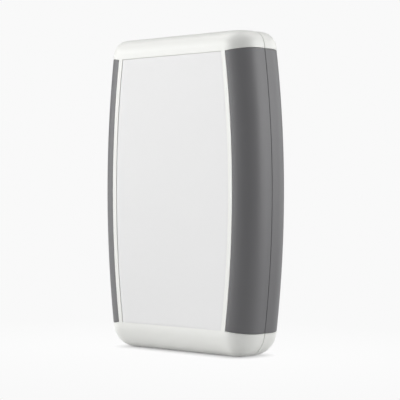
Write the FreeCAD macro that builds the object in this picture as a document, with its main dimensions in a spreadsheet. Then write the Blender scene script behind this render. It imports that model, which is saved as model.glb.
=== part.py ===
import FreeCAD, Part
import math
import os
import re

import Sketcher
from FreeCAD import Placement, Rotation, Vector

# A wireless adapter in an upright moulded housing with bowed sides.
# X is the width, Y runs from the front face (negative) to the rear, Z is up.
# The origin is the middle of the flat base. The two halves part at Y = 0.

os.makedirs("parts", exist_ok=True)
doc = FreeCAD.newDocument("wireless_adapter")

SIZES = {
    # Outer form of the housing
    "case_width": 79.0,
    "case_height": 118.0,
    "case_depth": 24.3,
    "widest_height": 60.1,
    "side_radius": 372.6,
    "foot_blend_drop": 50.2,
    "foot_blend_radius": 40.0,
    "edge_radius": 8.9,
    "foot_radius": 9.0,
    "head_radius": 5.8,
    # Walls and the joint between the halves
    "wall": 2.8,
    "parting_gap": 0.3,
    "lip_height": 1.4,
    "lip_thickness": 0.9,
    "lip_clearance": 0.1,
    # Side grips
    "grip_thickness": 1.2,
    "grip_clearance": 0.08,
    "grip_reach": 8.47,
    "grip_half_height": 50.24,
    # Label panel and its recess
    "label_reach": 10.49,
    "label_half_height": 50.1,
    "label_recess": 0.6,
    "label_thickness": 0.3,
    "label_clearance": 0.12,
    # Screw posts and the screws of the housing
    "post_inset": 17.0,
    "post_low": 14.5,
    "post_drop": 11.0,
    "front_post_diameter": 7.0,
    "rear_post_diameter": 9.0,
    "screw_seat": 3.2,
    "head_clearance": 0.3,
    "case_screw_head": 5.8,
    "case_screw_core": 2.5,
    "case_screw_length": 11.0,
    "head_height_share": 0.4,
    "head_crown_share": 0.14,
    "recess_span_share": 0.56,
    "recess_width_share": 0.16,
    "recess_depth_share": 0.22,
    "screw_clearance": 0.4,
    "pilot_clearance": 0.05,
    "pilot_extra": 1.0,
    # Main circuit board
    "board_inset": 9.5,
    "board_clearance": 1.0,
    "board_drop": 5.0,
    "board_thickness": 1.6,
    "board_corner": 2.0,
    "standoff_inset": 6.0,
    "standoff_rise": 5.0,
    "standoff_diameter": 6.0,
    "board_screw_head": 3.8,
    "board_screw_core": 1.7,
    "board_screw_length": 3.8,
    # USB socket
    "socket_width": 12.0,
    "socket_height": 10.8,
    "socket_length": 16.0,
    "socket_setback": 0.5,
    "socket_clearance": 0.25,
    "socket_sheet": 0.35,
    "socket_fit": 0.05,
    "mouth_width": 8.45,
    "mouth_height": 7.78,
    "mouth_bevel": 1.8,
    "mouth_depth": 9.0,
    "tongue_width": 5.6,
    "tongue_height": 3.1,
    "tongue_setback": 1.0,
    "contact_width": 1.0,
    "contact_thickness": 0.3,
    "contact_setback": 0.9,
    "contact_pitch": 2.5,
    "tail_row": 2.0,
    "tail_clearance": 0.55,
    "leg_width": 2.2,
    "leg_setback": 11.0,
    "pin_clearance": 0.15,
    # Radio module
    "module_width": 26.0,
    "module_length": 18.0,
    "module_thickness": 0.8,
    "module_share": 0.41,
    "can_width": 16.0,
    "can_length": 13.0,
    "can_height": 2.6,
    "can_sheet": 0.25,
    "can_corner": 1.5,
    # Antenna
    "antenna_length": 34.0,
    "antenna_strip": 2.0,
    "antenna_sheet": 0.4,
    "antenna_height": 6.0,
    "antenna_leg_pitch": 5.0,
    "antenna_rise": 6.0,
    # Parts on the board, in rows counted down from its shoulders
    "supply_drop": 14.5,
    "chip_drop": 17.0,
    "pin_drop": 12.0,
    "chip_side": 7.0,
    "chip_height": 1.0,
    "dimple_diameter": 1.0,
    "dimple_depth": 0.1,
    "memory_length": 4.9,
    "memory_width": 3.9,
    "memory_height": 1.5,
    "lead_pitch": 1.27,
    "lead_width": 0.42,
    "lead_thickness": 0.2,
    "lead_reach": 1.05,
    "lead_foot": 0.6,
    "lead_shoulder": 0.8,
    "regulator_length": 6.5,
    "regulator_width": 3.5,
    "regulator_height": 1.6,
    "regulator_pitch": 2.3,
    "regulator_lead": 0.7,
    "regulator_tab": 3.0,
    "crystal_length": 11.0,
    "crystal_width": 4.6,
    "crystal_height": 3.3,
    "crystal_brim": 0.4,
    "electrolytic_diameter": 6.3,
    "electrolytic_height": 5.6,
    "electrolytic_base": 6.6,
    "electrolytic_plinth": 1.0,
    "electrolytic_neck_depth": 0.25,
    "electrolytic_neck_width": 0.6,
    "electrolytic_neck_level": 1.4,
    "input_capacitor_inset": 6.0,
    "input_capacitor_drop": 8.0,
    "ceramic_length": 2.0,
    "ceramic_width": 1.25,
    "ceramic_height": 0.9,
    "resistor_length": 1.6,
    "resistor_width": 0.8,
    "resistor_height": 0.45,
    "cap_length": 0.35,
    "cap_skin": 0.04,
    "inductor_side": 6.0,
    "inductor_height": 3.0,
    "inductor_flange": 0.6,
    "inductor_core": 4.4,
    "pin_pitch": 2.54,
    "pin_side": 0.64,
    "pin_height": 6.0,
    "pin_bar_height": 2.5,
}

sheet = doc.addObject("Spreadsheet::Sheet", "sizes")
for row, (alias, number) in enumerate(SIZES.items(), start=1):
    sheet.set(f"A{row}", alias)
    sheet.set(f"B{row}", str(number))
    sheet.setAlias(f"B{row}", alias)
doc.recompute()


def link(formula):
    """Puts the sheet's name before each alias in a formula."""
    def full_name(word):
        return "sizes." + word[0] if word[0] in SIZES else word[0]
    return re.sub(r"[a-z_]+", full_name, formula)


def value(formula):
    """The number that a formula of the sheet gives now."""
    result = sheet.evalExpression(link(formula))
    return float(getattr(result, "Value", result))


def bind(item, **formulas):
    """Binds properties to formulas. An x, y or z is the place of the object."""
    for name, formula in formulas.items():
        path = "Placement.Base." + name if name in ("x", "y", "z") else name
        item.setExpression(path, link(formula))
    return item


def checked(item):
    """Recomputes and returns an object, and stops where its shape is no good."""
    doc.recompute()
    if "Invalid" in item.State or "Error" in item.State or item.Shape.isNull() or not item.Shape.isValid():
        raise RuntimeError(f"{item.Name} did not build: {item.State}")
    return item


# Shapes that most pieces are made of

def block(name, x, y, z, length, width, height):
    """A box from its lowest corner."""
    return bind(doc.addObject("Part::Box", name), x=x, y=y, z=z, Length=length, Width=width, Height=height)


def rod(name, x, y, z, radius, length):
    """A cylinder that runs along +Y from the middle of its front end."""
    item = doc.addObject("Part::Cylinder", name)
    item.Placement = Placement(Vector(), Rotation(Vector(1, 0, 0), -90))
    return bind(item, x=x, y=y, z=z, Radius=radius, Height=length)


def post(name, x, y, z, radius, height):
    """A cylinder that stands along +Z."""
    return bind(doc.addObject("Part::Cylinder", name), x=x, y=y, z=z, Radius=radius, Height=height)


def fuse(name, *items):
    """One solid of several that touch or overlap."""
    item = doc.addObject("Part::MultiFuse", name)
    item.Shapes = list(items)
    item.Refine = True
    return item


def cut(name, base, *tools):
    """The base less every tool, taken one after the other."""
    for index, tool in enumerate(tools, start=1):
        item = doc.addObject("Part::Cut", name if index == len(tools) else f"{name}_cut_{index}")
        item.Base = base
        item.Tool = tool
        base = item
    return base


def common(name, base, tool):
    """What two solids share."""
    item = doc.addObject("Part::Common", name)
    item.Base = base
    item.Tool = tool
    return item


def group(name, items):
    """Several separate solids kept as one piece of the list."""
    item = doc.addObject("Part::Compound", name)
    item.Links = list(items)
    return item


# Sketches, whose dimensions are bound to the sheet

def new_body(name):
    return doc.addObject("PartDesign::Body", name)


def new_sketch(body, name, role="XZ_Plane", offset=None):
    """A sketch on one of the body's own planes, moved along that plane's normal by offset."""
    sketch = body.newObject("Sketcher::SketchObject", name)
    plane = next(feature for feature in body.Origin.OriginFeatures if feature.Role == role)
    sketch.AttachmentSupport = [(plane, "")]
    sketch.MapMode = "FlatFace"
    if offset is not None:
        sketch.setExpression("AttachmentOffset.Base.z", link(offset))
    return sketch


def tie(sketch, formula, kind, *where):
    """Adds a dimension and binds it to a formula."""
    index = sketch.addConstraint(Sketcher.Constraint(kind, *where, value(formula)))
    sketch.setExpression(f"Constraints[{index}]", link(formula))


def place_point(sketch, geometry, end, x, y):
    """Dimensions one end of a line or arc from the sketch's origin."""
    for kind, formula, axis_line in (("DistanceX", x, -2), ("DistanceY", y, -1)):
        if formula == "0":
            sketch.addConstraint(Sketcher.Constraint("PointOnObject", geometry, end, axis_line))
        else:
            tie(sketch, formula, kind, -1, 1, geometry, end)


def polygon(sketch, points):
    """A closed outline of straight lines whose corners are pairs of formulas."""
    first = sketch.GeometryCount
    corners = [Vector(value(x), value(y), 0) for x, y in points]
    for start, end in zip(corners, corners[1:] + corners[:1]):
        sketch.addGeometry(Part.LineSegment(start, end))
    last = sketch.GeometryCount - 1
    for line in range(first, last + 1):
        follower = line + 1 if line < last else first
        sketch.addConstraint(Sketcher.Constraint("Coincident", line, 2, follower, 1))
    for line, (x, y) in enumerate(points, start=first):
        place_point(sketch, line, 1, x, y)


def rectangle(sketch, left, right, bottom, top):
    polygon(sketch, [(left, bottom), (right, bottom), (right, top), (left, top)])


def pad(body, sketch, length, midplane=False, reverse=False, kind="Pad"):
    """A Pad or, with its kind, a Pocket of one length."""
    feature = body.newObject("PartDesign::" + kind, sketch.Name + "_" + kind.lower())
    feature.Profile = sketch
    feature.SideType = "Symmetric" if midplane else "One side"
    feature.Reversed = reverse
    feature.setExpression("Length", link(length))
    sketch.Visibility = False
    return checked(feature)


def round_edges(body, base, name, radius, test):
    """Rounds the edges of the base for which the test is true."""
    edges = [f"Edge{number}" for number, edge in enumerate(base.Shape.Edges, start=1) if test(edge)]
    if not edges:
        raise RuntimeError(name + " found no edge")
    feature = body.newObject("PartDesign::Fillet", name)
    feature.Base = (base, edges)
    feature.setExpression("Radius", link(radius))
    return checked(feature)


def is_flat_at(edge, axis, level, reach=1e-4):
    """True for an edge that lies in one plane square to an axis."""
    box = edge.BoundBox
    low, high = getattr(box, axis + "Min"), getattr(box, axis + "Max")
    return abs(low - level) < reach and abs(high - level) < reach


# The moulded form
# Its sides are one large arc each. Below foot_blend_drop they turn in more tightly.

def outline_sketch(body, name, inset):
    """The front view of the form, with every side moved in by the inset."""
    sketch = new_sketch(body, name)
    width, height, middle = value("case_width"), value("case_height"), value("widest_height")
    bow, blend, step = value("side_radius"), value("foot_blend_radius"), value(inset)
    dip = math.asin(value("foot_blend_drop") / bow)
    rise = math.asin((height - step - middle) / (bow - step))
    side = Vector(width / 2 - bow, middle, 0)
    foot = side + Vector(math.cos(dip), -math.sin(dip), 0) * (bow - blend)
    base = math.asin((step - foot.y) / (blend - step))
    base_x = foot.x + (blend - step) * math.cos(base)
    top_x = side.x + (bow - step) * math.cos(rise)

    def arc(centre, radius, start, end):
        return Part.ArcOfCircle(Part.Circle(centre, Vector(0, 0, 1), radius), start, end)

    def mirrored(point):
        return Vector(-point.x, point.y, 0)

    sketch.addGeometry([
        Part.LineSegment(Vector(-base_x, step, 0), Vector(base_x, step, 0)),
        arc(foot, blend - step, base, -dip),
        arc(side, bow - step, -dip, rise),
        Part.LineSegment(Vector(top_x, height - step, 0), Vector(-top_x, height - step, 0)),
        arc(mirrored(side), bow - step, math.pi - rise, math.pi + dip),
        arc(mirrored(foot), blend - step, math.pi + dip, math.pi - base),
    ])
    bottom, right_foot, right_side, top, left_side, left_foot = range(6)
    for kind, *where in (
        ("Coincident", bottom, 2, right_foot, 1),
        ("Tangent", right_foot, 2, right_side, 1),
        ("Coincident", right_side, 2, top, 1),
        ("Coincident", top, 2, left_side, 1),
        ("Tangent", left_side, 2, left_foot, 1),
        ("Coincident", left_foot, 2, bottom, 1),
        ("Symmetric", right_side, 3, left_side, 3, -2),
        ("Symmetric", right_foot, 3, left_foot, 3, -2),
        ("Equal", right_side, left_side),
        ("Horizontal", bottom),
        ("Horizontal", top),
    ):
        sketch.addConstraint(Sketcher.Constraint(kind, *where))
    tie(sketch, f"side_radius - {inset}", "Radius", right_side)
    tie(sketch, f"foot_blend_radius - {inset}", "Radius", right_foot)
    tie(sketch, "side_radius - case_width / 2", "DistanceX", right_side, 3, -1, 1)
    tie(sketch, "widest_height", "DistanceY", -1, 1, right_side, 3)
    tie(sketch, f"widest_height - (side_radius - {inset}) * foot_blend_drop / side_radius",
        "DistanceY", -1, 1, right_side, 1)
    tie(sketch, f"case_height - {inset}", "DistanceY", -1, 1, top, 1)
    if inset == "0":
        sketch.addConstraint(Sketcher.Constraint("PointOnObject", bottom, 1, -1))
    else:
        tie(sketch, inset, "DistanceY", -1, 1, bottom, 1)
    return sketch


def moulded_form(name, inset="0"):
    """The whole closed form, with every face moved in by the inset."""
    body = new_body(name)
    half_depth = value(f"case_depth / 2 - {inset}")
    base_level, top_level = value(inset), value(f"case_height - {inset}")
    outline = outline_sketch(body, name + "_outline", inset)
    plate = pad(body, outline, f"case_depth - 2 * {inset}", midplane=True)

    def is_long_edge(edge):
        upright = edge.BoundBox.ZLength > edge.BoundBox.XLength
        return upright and (is_flat_at(edge, "Y", half_depth) or is_flat_at(edge, "Y", -half_depth))

    rounded = round_edges(body, plate, name + "_long_edges", f"edge_radius - {inset}", is_long_edge)
    footed = round_edges(body, rounded, name + "_foot", f"foot_radius - {inset}",
                         lambda edge: is_flat_at(edge, "Z", base_level))
    round_edges(body, footed, name + "_head", f"head_radius - {inset}",
                lambda edge: is_flat_at(edge, "Z", top_level))
    return checked(body)


# Outlines that follow the bowed sides

def side_centre(sketch, arc, side):
    """Puts an arc's centre where the large arc of that side has its own."""
    tie(sketch, f"{side}(case_width / 2 - side_radius)", "DistanceX", -1, 1, arc, 3)
    tie(sketch, "widest_height", "DistanceY", -1, 1, arc, 3)


def grip_sectors(name, clearance):
    """Both grip areas of the front view, as sectors about the centres of the bowed sides."""
    body = new_body(name)
    sketch = new_sketch(body, name + "_outline")
    inner = f"(side_radius - grip_reach + {clearance})"
    outer = "(side_radius + wall)"
    reach = f"(grip_half_height - {clearance})"
    middle = value("widest_height")
    angle = math.asin(value(reach) / value(inner))
    for side in ("", "-"):
        centre = Vector(value(f"{side}(case_width / 2 - side_radius)"), middle, 0)
        facing = 0 if side == "" else math.pi

        def arc(radius):
            circle = Part.Circle(centre, Vector(0, 0, 1), value(radius))
            return Part.ArcOfCircle(circle, facing - angle, facing + angle)

        def at(radius, turn):
            return centre + Vector(math.cos(facing + turn), math.sin(facing + turn), 0) * value(radius)

        first = sketch.addGeometry([
            arc(inner),
            Part.LineSegment(at(inner, angle), at(outer, angle)),
            arc(outer),
            Part.LineSegment(at(outer, -angle), at(inner, -angle)),
        ])[0]
        near, ahead, far, behind = range(first, first + 4)
        for kind, *where in (
            ("Coincident", near, 2, ahead, 1),
            ("Coincident", ahead, 2, far, 2),
            ("Coincident", far, 1, behind, 1),
            ("Coincident", behind, 2, near, 1),
            ("Coincident", near, 3, far, 3),
            ("PointOnObject", near, 3, ahead),
            ("PointOnObject", near, 3, behind),
        ):
            sketch.addConstraint(Sketcher.Constraint(kind, *where))
        side_centre(sketch, near, side)
        tie(sketch, inner, "Radius", near)
        tie(sketch, outer, "Radius", far)
        sign_up, sign_down = ("+", "-") if side == "" else ("-", "+")
        tie(sketch, f"widest_height {sign_up} {reach}", "DistanceY", -1, 1, ahead, 1)
        tie(sketch, f"widest_height {sign_down} {reach}", "DistanceY", -1, 1, behind, 2)
    pad(body, sketch, "2 * case_depth", midplane=True)
    return body


def label_prism(name, growth):
    """The label's outline, with level ends and bowed sides, run through the whole depth."""
    body = new_body(name)
    sketch = new_sketch(body, name + "_outline")
    radius = f"(side_radius - label_reach + {growth})"
    reach = f"(label_half_height + {growth})"
    middle = value("widest_height")
    angle = math.asin(value(reach) / value(radius))
    centre = Vector(value("case_width / 2 - side_radius"), middle, 0)
    edge_x = centre.x + value(radius) * math.cos(angle)
    top, bottom = middle + value(reach), middle - value(reach)

    def arc(middle_point, facing):
        circle = Part.Circle(middle_point, Vector(0, 0, 1), value(radius))
        return Part.ArcOfCircle(circle, facing - angle, facing + angle)

    sketch.addGeometry([
        arc(centre, 0),
        Part.LineSegment(Vector(edge_x, top, 0), Vector(-edge_x, top, 0)),
        arc(Vector(-centre.x, middle, 0), math.pi),
        Part.LineSegment(Vector(-edge_x, bottom, 0), Vector(edge_x, bottom, 0)),
    ])
    right, upper, left, lower = range(4)
    for kind, *where in (
        ("Coincident", right, 2, upper, 1),
        ("Coincident", upper, 2, left, 1),
        ("Coincident", left, 2, lower, 1),
        ("Coincident", lower, 2, right, 1),
        ("Symmetric", right, 3, left, 3, -2),
        ("Equal", right, left),
        ("Horizontal", upper),
        ("Horizontal", lower),
    ):
        sketch.addConstraint(Sketcher.Constraint(kind, *where))
    side_centre(sketch, right, "")
    tie(sketch, radius, "Radius", right)
    tie(sketch, f"widest_height + {reach}", "DistanceY", -1, 1, upper, 1)
    tie(sketch, f"widest_height - {reach}", "DistanceY", -1, 1, lower, 1)
    pad(body, sketch, "2 * case_depth", midplane=True)
    return body


# Places that several pieces share, counted along Y from the parting plane
FRONT_FACE = "(0 - case_depth / 2)"
REAR_FACE = "(case_depth / 2)"
BOARD_FRONT = "(socket_height / 2)"
BOARD_REAR = "(socket_height / 2 + board_thickness)"
MOUTH_LEVEL = "(case_height - socket_setback)"
POST_X = "(case_width / 2 - post_inset)"
POST_HIGH = "(case_height - post_drop)"
POST_PLACES = [(side + POST_X, level) for side in ("", "-") for level in ("post_low", POST_HIGH)]
BOARD_SIDE = "(case_width / 2 - board_inset)"
BOARD_LOW = "(post_low + rear_post_diameter / 2 + board_clearance)"
BOARD_SHOULDER = f"({POST_HIGH} - rear_post_diameter / 2 - board_clearance)"
BOARD_HIGH = "(case_height - board_drop)"
BOARD_NECK = f"({POST_X} - rear_post_diameter / 2 - board_clearance)"
STANDOFF_PLACES = [
    (f"{side}({BOARD_SIDE} - standoff_inset)", level)
    for side in ("", "-") for level in (f"{BOARD_LOW} + standoff_rise", f"{BOARD_SHOULDER} - standoff_rise")
]
TAIL_REACH = f"({REAR_FACE} - wall - tail_clearance - {BOARD_FRONT})"
SUPPLY_ROW = f"({BOARD_SHOULDER} - supply_drop)"
CHIP_ROW = f"({SUPPLY_ROW} - chip_drop)"
ANTENNA_ROW = f"({BOARD_LOW} + antenna_rise)"
MODULE_ROW = f"({ANTENNA_ROW} + module_share * ({CHIP_ROW} - {ANTENNA_ROW}))"
CHIP_COLUMN = f"({BOARD_SIDE} / 2)"


def slab(name, start, end):
    """A block wider and taller than the housing between two places along Y."""
    return block(name, "0 - case_width", start, "0 - case_depth",
                 "2 * case_width", f"{end} - {start}", "case_height + 2 * case_depth")


def quarter(name, side, start, end):
    """The left or right half of a slab."""
    x = "0" if side == "right" else "0 - case_width"
    return block(name, x, start, "0", "case_width", f"{end} - {start}", "case_height")


# Forms that the shells and the grips are cut from
outer_form = moulded_form("outer_form")
cavity_form = moulded_form("cavity_form", "wall")
lip_form = moulded_form("lip_form", "(wall - lip_thickness)")
rebate_form = moulded_form("rebate_form", "(wall - lip_thickness - lip_clearance)")
grip_floor_form = moulded_form("grip_floor_form", "(grip_thickness + grip_clearance)")
grip_back_form = moulded_form("grip_back_form", "grip_thickness")

# Side grips
grip_pocket = cut("grip_pocket", grip_sectors("grip_pocket_sectors", "0"), grip_floor_form)
grip_ring = cut("grip_ring", outer_form, grip_back_form)
grip_skin = common("grip_skin", grip_ring, grip_sectors("grip_skin_sectors", "grip_clearance"))
halves = {
    "front": (f"2 * {FRONT_FACE}", "(0 - parting_gap / 2)"),
    "rear": ("(parting_gap / 2)", f"2 * {REAR_FACE}"),
}
grips = [
    common(f"grip_{half}_{side}", grip_skin, quarter(f"{half}_{side}_quarter", side, *halves[half]))
    for half in halves for side in ("left", "right")
]

# Label panel, which lies on the floor of its recess
LABEL_FLOOR = f"({FRONT_FACE} + label_recess)"
label_pocket = common("label_pocket", label_prism("label_pocket_prism", "label_clearance"),
                      slab("label_pocket_slab", f"2 * {FRONT_FACE}", LABEL_FLOOR))
label_panel = common("label_panel", label_prism("label_panel_prism", "0"),
                     slab("label_panel_slab", f"({LABEL_FLOOR} - label_thickness)", LABEL_FLOOR))

# Opening for the socket, half in each shell
socket_opening = block(
    "socket_opening", "0 - socket_width / 2 - socket_clearance", "0 - socket_height / 2 - socket_clearance",
    "case_height - 2 * wall", "socket_width + 2 * socket_clearance", "socket_height + 2 * socket_clearance",
    "3 * wall")

# Front shell
POST_ROOT = "(wall / 4)"
front_posts = [
    rod("front_post", x, f"{FRONT_FACE} + wall - {POST_ROOT}", z, "front_post_diameter / 2",
        f"case_depth / 2 - wall + {POST_ROOT}")
    for x, z in POST_PLACES
]
PILOT_DEPTH = "(case_screw_length - screw_seat + pilot_extra)"
pilot_bores = [
    rod("pilot_bore", x, f"0 - {PILOT_DEPTH}", z, "case_screw_core / 2 + pilot_clearance",
        f"2 * {PILOT_DEPTH}")
    for x, z in POST_PLACES
]
front_blank = common("front_blank", outer_form, slab("front_slab", *halves["front"]))
front_skin = cut("front_skin", front_blank, cavity_form)
rebate = common("rebate", rebate_form,
                slab("rebate_slab", "(0 - lip_height - 2 * lip_clearance)", "case_depth"))
front_shell = cut("front_shell", fuse("front_body", cut("front_rebated", front_skin, rebate), *front_posts),
                  grip_pocket, label_pocket, socket_opening, group("pilot_bores", pilot_bores))

# Rear shell
rear_posts = [
    rod("rear_post", x, "0", z, "rear_post_diameter / 2", f"case_depth / 2 - wall + {POST_ROOT}")
    for x, z in POST_PLACES
]
standoffs = [
    rod("standoff", x, BOARD_REAR, z, "standoff_diameter / 2",
        f"{REAR_FACE} - wall + {POST_ROOT} - {BOARD_REAR}")
    for x, z in STANDOFF_PLACES
]
shank_bores = [
    rod("shank_bore", x, "0 - screw_seat", z, "case_screw_core / 2 + screw_clearance", "3 * screw_seat")
    for x, z in POST_PLACES
]
head_bores = [
    rod("head_bore", x, "screw_seat", z, "case_screw_head / 2 + head_clearance", "case_depth")
    for x, z in POST_PLACES
]
BOARD_PILOT_DEPTH = "(board_screw_length + pilot_extra / 2)"
board_pilots = [
    rod("board_pilot", x, BOARD_FRONT, z, "board_screw_core / 2 + pilot_clearance", BOARD_PILOT_DEPTH)
    for x, z in STANDOFF_PLACES
]
rear_skin = common("rear_blank", outer_form, slab("rear_slab", *halves["rear"]))
lip = common("lip", lip_form, slab("lip_slab", "(0 - lip_height)", "lip_height"))
rear_body = cut("rear_body", fuse("rear_solid", rear_skin, lip), cavity_form)
rear_shell = cut("rear_shell", fuse("rear_posted", rear_body, *rear_posts, *standoffs),
                 grip_pocket, socket_opening, group("rear_bores", shank_bores + head_bores + board_pilots))


# Screws

def screw(name, x, z, seat, length, head, core, heading):
    """A round headed screw with a cross recess. Its shank runs from the seat along Y by heading."""
    head_height, crown = f"({head} * head_height_share)", f"({head} * head_crown_share)"
    barrel = f"({head_height} - {crown})"
    span, width = f"({head} * recess_span_share)", f"({head} * recess_width_share)"
    depth = f"({head} * recess_depth_share)"
    turn = Rotation(Vector(1, 0, 0), -90 if heading == "-" else 90)
    shank_item = doc.addObject("Part::Cylinder", name + "_shank")
    bind(shank_item, Radius=f"{core} / 2", Height=f"{length} + {barrel} / 2", z=f"0 - {length}")
    head_item = bind(doc.addObject("Part::Cylinder", name + "_head"), Radius=f"{head} / 2", Height=barrel)
    crown_item = bind(doc.addObject("Part::Cone", name + "_crown"), Radius1=f"{head} / 2",
                      Radius2=f"{head} / 2 - {crown}", Height=crown, z=barrel)
    slots = [
        block(name + "_slot", f"0 - {along} / 2", f"0 - {across} / 2", f"{head_height} - {depth}",
              along, across, f"2 * {depth}")
        for along, across in ((span, width), (width, span))
    ]
    item = cut(name, fuse(name + "_solid", shank_item, head_item, crown_item), *slots)
    item.Placement = Placement(Vector(), turn)
    return bind(item, x=x, y=seat, z=z)


case_screws = group("case_screws", [
    screw("case_screw", x, z, "screw_seat", "case_screw_length", "case_screw_head", "case_screw_core", "-")
    for x, z in POST_PLACES
])
board_screws = group("board_screws", [
    screw("board_screw", x, z, BOARD_FRONT, "board_screw_length", "board_screw_head", "board_screw_core", "+")
    for x, z in STANDOFF_PLACES
])


# Main circuit board
FIRST_TAIL = "socket_length + contact_thickness / 2"
TAIL_ROWS = [FIRST_TAIL, FIRST_TAIL + " + tail_row"]
TAIL_PLACES = [(side + "contact_pitch / 2", row) for side in ("", "-") for row in TAIL_ROWS]
LEG_PLACES = [(f"{side}(socket_width / 2 - socket_sheet / 2)", "leg_setback") for side in ("", "-")]
PIN_X = f"({BOARD_SIDE} - pin_pitch * 3)"
PIN_LOW = f"({CHIP_ROW} - pin_drop)"
PIN_PLACES = [(PIN_X, f"{PIN_LOW} + pin_pitch * {index}") for index in range(4)]


def hole(sketch, x, y, radius):
    """A circle whose centre and radius are bound to the sheet."""
    circle = sketch.addGeometry(Part.Circle(Vector(value(x), value(y), 0), Vector(0, 0, 1), value(radius)))
    tie(sketch, radius, "Radius", circle)
    tie(sketch, x, "DistanceX", -1, 1, circle, 3)
    tie(sketch, y, "DistanceY", -1, 1, circle, 3)


board_body = new_body("circuit_board")
board_outline = new_sketch(board_body, "board_outline", offset=f"0 - {BOARD_FRONT}")
polygon(board_outline, [
    (f"0 - {BOARD_SIDE}", BOARD_LOW),
    (BOARD_SIDE, BOARD_LOW),
    (BOARD_SIDE, BOARD_SHOULDER),
    (BOARD_NECK, BOARD_SHOULDER),
    (BOARD_NECK, BOARD_HIGH),
    (f"0 - {BOARD_NECK}", BOARD_HIGH),
    (f"0 - {BOARD_NECK}", BOARD_SHOULDER),
    (f"0 - {BOARD_SIDE}", BOARD_SHOULDER),
])
board_plate = pad(board_body, board_outline, "board_thickness", reverse=True)
board_corners = round_edges(board_body, board_plate, "board_corners", "board_corner",
                            lambda edge: edge.BoundBox.YLength > value("board_thickness") / 2)
board_holes = new_sketch(board_body, "board_holes", offset=f"0 - {BOARD_FRONT}")
for x, z in STANDOFF_PLACES:
    hole(board_holes, x, z, "board_screw_core / 2 + screw_clearance")
for x, drop in TAIL_PLACES:
    hole(board_holes, x, f"{MOUTH_LEVEL} - ({drop})", "contact_width / 2 + pin_clearance")
for x, drop in LEG_PLACES:
    hole(board_holes, x, f"{MOUTH_LEVEL} - {drop}", "leg_width / 2 + pin_clearance")
for x, z in PIN_PLACES:
    hole(board_holes, x, z, "pin_side * sqrt(2) / 2 + pin_clearance / 2")
pad(board_body, board_holes, "4 * board_thickness", midplane=True, kind="Pocket")
circuit_board = checked(board_body)


# Parts on the board
# Each is made upright on the XY plane and laid so that its own Z points to the front.

def on_board(item, x, z, lift="0"):
    item.Placement = Placement(Vector(), Rotation(Vector(1, 0, 0), 90))
    return bind(item, x=x, y=f"{BOARD_FRONT} - {lift}", z=z)


def centred_block(name, length, width, height, z="0"):
    """A block that stands at a height over the middle of the plane."""
    return block(name, f"0 - {length} / 2", f"0 - {width} / 2", z, length, width, height)


# USB socket, with its mouth plane at the local Y = 0 and its body behind it
MOUTH_MIDDLE = "(socket_height / 2)"


def mouth_prism():
    """The opening for the plug, whose two corners away from the board are bevelled."""
    body = new_body("mouth_prism")
    sketch = new_sketch(body, "mouth_outline", offset="0 - socket_sheet")
    half_width, half_height = "mouth_width / 2", "mouth_height / 2"
    polygon(sketch, [
        (f"0 - {half_width}", f"{MOUTH_MIDDLE} - {half_height}"),
        (half_width, f"{MOUTH_MIDDLE} - {half_height}"),
        (half_width, f"{MOUTH_MIDDLE} + {half_height} - mouth_bevel"),
        (f"{half_width} - mouth_bevel", f"{MOUTH_MIDDLE} + {half_height}"),
        (f"mouth_bevel - {half_width}", f"{MOUTH_MIDDLE} + {half_height}"),
        (f"0 - {half_width}", f"{MOUTH_MIDDLE} + {half_height} - mouth_bevel"),
    ])
    pad(body, sketch, "mouth_depth + socket_sheet")
    return body


mouth = mouth_prism()
shell_outside = block("shell_outside", "0 - socket_width / 2", "0 - socket_length", "0", "socket_width",
                      "socket_length", "socket_height")
shell_inside = block(
    "shell_inside", "socket_sheet - socket_width / 2", "0 - 2 * socket_length", "0 - socket_sheet",
    "socket_width - 2 * socket_sheet", "2 * socket_length - socket_sheet", "socket_height")
shell_legs = [
    block("shell_leg", x, "0 - leg_setback - leg_width / 2", f"0 - {TAIL_REACH}", "socket_sheet", "leg_width",
          f"{TAIL_REACH} + socket_sheet")
    for x in ("socket_width / 2 - socket_sheet", "0 - socket_width / 2")
]
usb_socket_shell = on_board(cut("usb_socket_shell", fuse("shell_blank", shell_outside, *shell_legs),
                                shell_inside, mouth), "0", MOUTH_LEVEL)

INSULATOR_GAP = "(socket_sheet + socket_fit)"
CONTACT_TIP = "(tongue_setback + contact_setback)"
insulator_block = block("insulator_block", f"{INSULATOR_GAP} - socket_width / 2", "0 - socket_length", "0",
                        f"socket_width - 2 * {INSULATOR_GAP}", f"socket_length - {INSULATOR_GAP}",
                        f"socket_height - {INSULATOR_GAP}")
tongue = block(
    "tongue", "0 - tongue_width / 2", "0 - mouth_depth - socket_sheet", f"{MOUTH_MIDDLE} - tongue_height / 2",
    "tongue_width", "mouth_depth + socket_sheet - tongue_setback", "tongue_height")


def contact(name, x, row, tail_place, fit="0"):
    """A strip along the tongue and its tail through the board, or its slot with a fit all round."""
    upper = row == "upper"
    strip_z = f"{MOUTH_MIDDLE} + tongue_height / 2 - contact_thickness" if upper else (
        f"{MOUTH_MIDDLE} - tongue_height / 2")
    far = f"({tail_place} + contact_thickness / 2)"
    strip = block(
        name + "_strip", f"{x} - contact_width / 2 - {fit}", f"0 - {far}", f"{strip_z} - {fit}",
        f"contact_width + 2 * {fit}", f"{far} - {CONTACT_TIP} + {fit}", f"contact_thickness + 2 * {fit}")
    if fit != "0":
        return strip
    tail = block(name + "_tail", f"{x} - contact_width / 2", f"0 - {far}", f"0 - {TAIL_REACH}",
                 "contact_width", "contact_thickness", f"{strip_z} + {TAIL_REACH} + contact_thickness")
    return fuse(name, strip, tail)


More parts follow.
